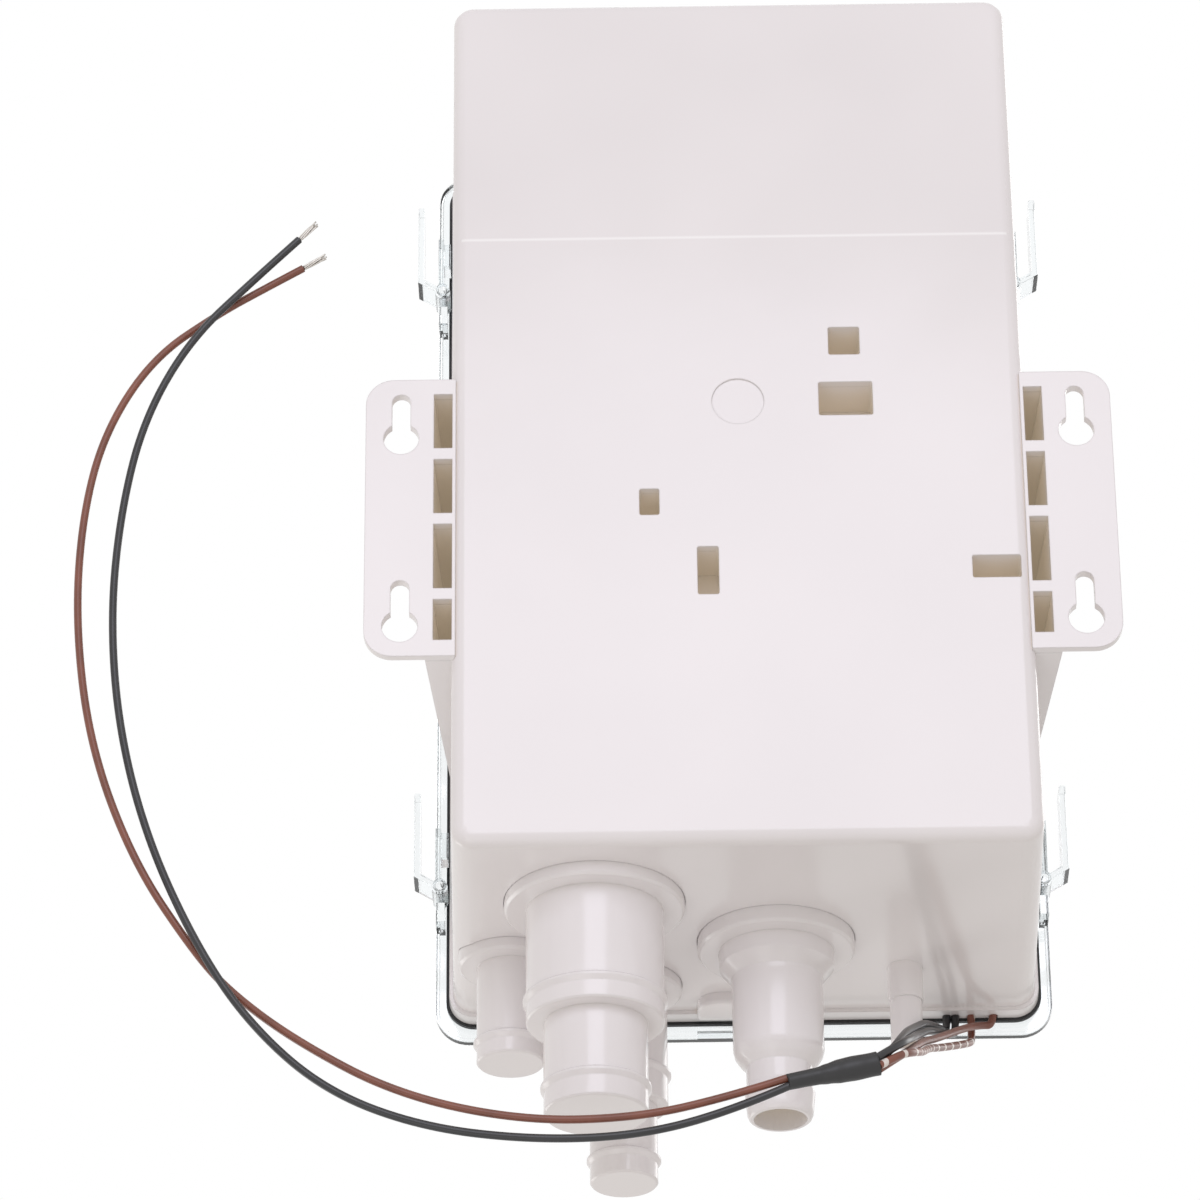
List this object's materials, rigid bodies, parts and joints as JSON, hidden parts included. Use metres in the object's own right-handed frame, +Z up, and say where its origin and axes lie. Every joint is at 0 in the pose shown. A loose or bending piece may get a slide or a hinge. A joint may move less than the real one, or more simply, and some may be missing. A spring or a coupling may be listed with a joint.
{
  "type": "shower sump pump",
  "caption": "Boxed shower drain sump with a clear latched lid, stepped hose stubs, keyhole mounting ears, a float switch and a submersible pump inside, and wire leads.",
  "frame": {"origin": "centre of the four keyholes' round entries, in the plane of the underside", "axes": "+Z up through the lid, -Y towards the hose ports, +X towards the stepped inlet ports"},
  "size_m": [0.2906, 0.3724, 0.12],
  "materials": {
    "shell_plastic": "glossy off-white ABS",
    "clear_plastic": "clear polycarbonate",
    "black_rubber": "matte",
    "screen_plastic": "satin grey polypropylene",
    "pump_black": "moulded, fine grain",
    "pump_white": "moulded, satin",
    "pump_grey": "moulded, satin",
    "hose_vinyl": "soft vinyl",
    "stainless": "bright",
    "sintered_bronze": "dull",
    "motor_iron": "dark",
    "motor_board": "phenolic",
    "wire_black": "satin PVC",
    "wire_brown": "satin PVC",
    "inner_leads": "satin PVC",
    "tinned_copper": "tinned strands"
  },
  "bodies": {
    "tub_body": {"tub": "shell_plastic", "inlet_fitting_38_28": "shell_plastic", "inlet_fitting_25_19": "shell_plastic", "inlet_fitting_19": "shell_plastic", "outlet_fitting": "shell_plastic", "outlet_hose_tail": "shell_plastic", "vent_nipple": "shell_plastic", "pump_o_ring": "black_rubber", "pump_shaft_seal": "black_rubber", "pump_strainer_base": "pump_black", "float_switch_base": "pump_black", "pump_volute": "pump_white", "pump_cap": "pump_white", "pump_motor_housing": "pump_grey", "discharge_hose": "hose_vinyl", "outlet_valve_pin": "stainless", "hose_clamps": "stainless", "float_switch_pin": "stainless", "float_switch_screws": "stainless", "motor_can": "stainless", "motor_bearings": "sintered_bronze", "motor_magnets": "motor_iron", "motor_brush_endcap": "motor_board", "wire_black_pump": "wire_black", "wire_black_float": "wire_black", "lead_black": "wire_black", "splice_sleeve": "wire_black", "wire_brown": "wire_brown", "wire_striped": "wire_brown", "lead_brown": "wire_brown", "pump_leads": "inner_leads", "float_leads": "inner_leads", "lead_conductors": "tinned_copper"},
    "lid_body": {"lid": "clear_plastic", "rim_gasket": "black_rubber"},
    "latch_rear_right_body": {"latch_rear_right": "clear_plastic"},
    "latch_rear_left_body": {"latch_rear_left": "clear_plastic"},
    "latch_front_right_body": {"latch_front_right": "clear_plastic"},
    "latch_front_left_body": {"latch_front_left": "clear_plastic"},
    "screen_body": {"filter_screen_frame": "screen_plastic", "filter_screen_mesh": "screen_plastic"},
    "rotor": {"pump_impeller": "pump_grey", "motor_shaft": "stainless", "motor_armature": "motor_iron"},
    "float_body": {"float_switch_float": "pump_white"},
    "valve_body": {"outlet_valve_flap": "black_rubber"},
    "tab_1_body": {"pump_release_tab_1": "pump_black"},
    "tab_2_body": {"pump_release_tab_2": "pump_black"}
  },
  "joints": [
    {"name": "lid_lift", "type": "slide", "parent": "tub_body", "child": "lid_body", "axis": [0, 0, 1], "range_m": [0, 0.12]},
    {"name": "screen_lift", "type": "slide", "parent": "tub_body", "child": "screen_body", "axis": [0, 0, 1], "range_m": [0, 0.096]},
    {"name": "latch_rear_right_swing", "type": "hinge", "parent": "lid_body", "child": "latch_rear_right_body", "pos_m": [0.0872, 0.1396, 0.103], "axis": [0, 0, -1], "range_deg": [0, 6], "stiffness_Nm_per_rad": 0.05},
    {"name": "latch_rear_left_swing", "type": "hinge", "parent": "lid_body", "child": "latch_rear_left_body", "pos_m": [-0.0872, 0.1396, 0.103], "axis": [0, 0, 1], "range_deg": [0, 6], "stiffness_Nm_per_rad": 0.05},
    {"name": "latch_front_right_swing", "type": "hinge", "parent": "lid_body", "child": "latch_front_right_body", "pos_m": [0.0872, -0.0624, 0.103], "axis": [0, 0, -1], "range_deg": [0, 6], "stiffness_Nm_per_rad": 0.05},
    {"name": "latch_front_left_swing", "type": "hinge", "parent": "lid_body", "child": "latch_front_left_body", "pos_m": [-0.0872, -0.0624, 0.103], "axis": [0, 0, 1], "range_deg": [0, 6], "stiffness_Nm_per_rad": 0.05},
    {"name": "rotor_spin", "type": "hinge", "parent": "tub_body", "child": "rotor", "pos_m": [0.0127, 0.0472, 0.05], "axis": [0, 0, 1], "continuous": true},
    {"name": "float_swing", "type": "hinge", "parent": "tub_body", "child": "float_body", "pos_m": [-0.06417, -0.00117, 0.034], "axis": [0.8769, -0.4806, 0], "range_deg": [0, 40]},
    {"name": "valve_swing", "type": "hinge", "parent": "tub_body", "child": "valve_body", "pos_m": [-0.00845, -0.1043, 0.0711], "axis": [-1, 0, 0], "range_deg": [0, 45]},
    {"name": "tab_1_rock", "type": "hinge", "parent": "tub_body", "child": "tab_1_body", "pos_m": [-0.01181, 0.06777, 0.014], "axis": [-0.6428, -0.766, 0], "range_deg": [0, 8], "stiffness_Nm_per_rad": 0.05},
    {"name": "tab_2_rock", "type": "hinge", "parent": "tub_body", "child": "tab_2_body", "pos_m": [0.03721, 0.02663, 0.014], "axis": [0.6428, 0.766, 0], "range_deg": [0, 8], "stiffness_Nm_per_rad": 0.05}
  ],
  "couplings": [
    {"joint": "screen_lift", "follows": "lid_lift", "ratio": 0.8}
  ]
}
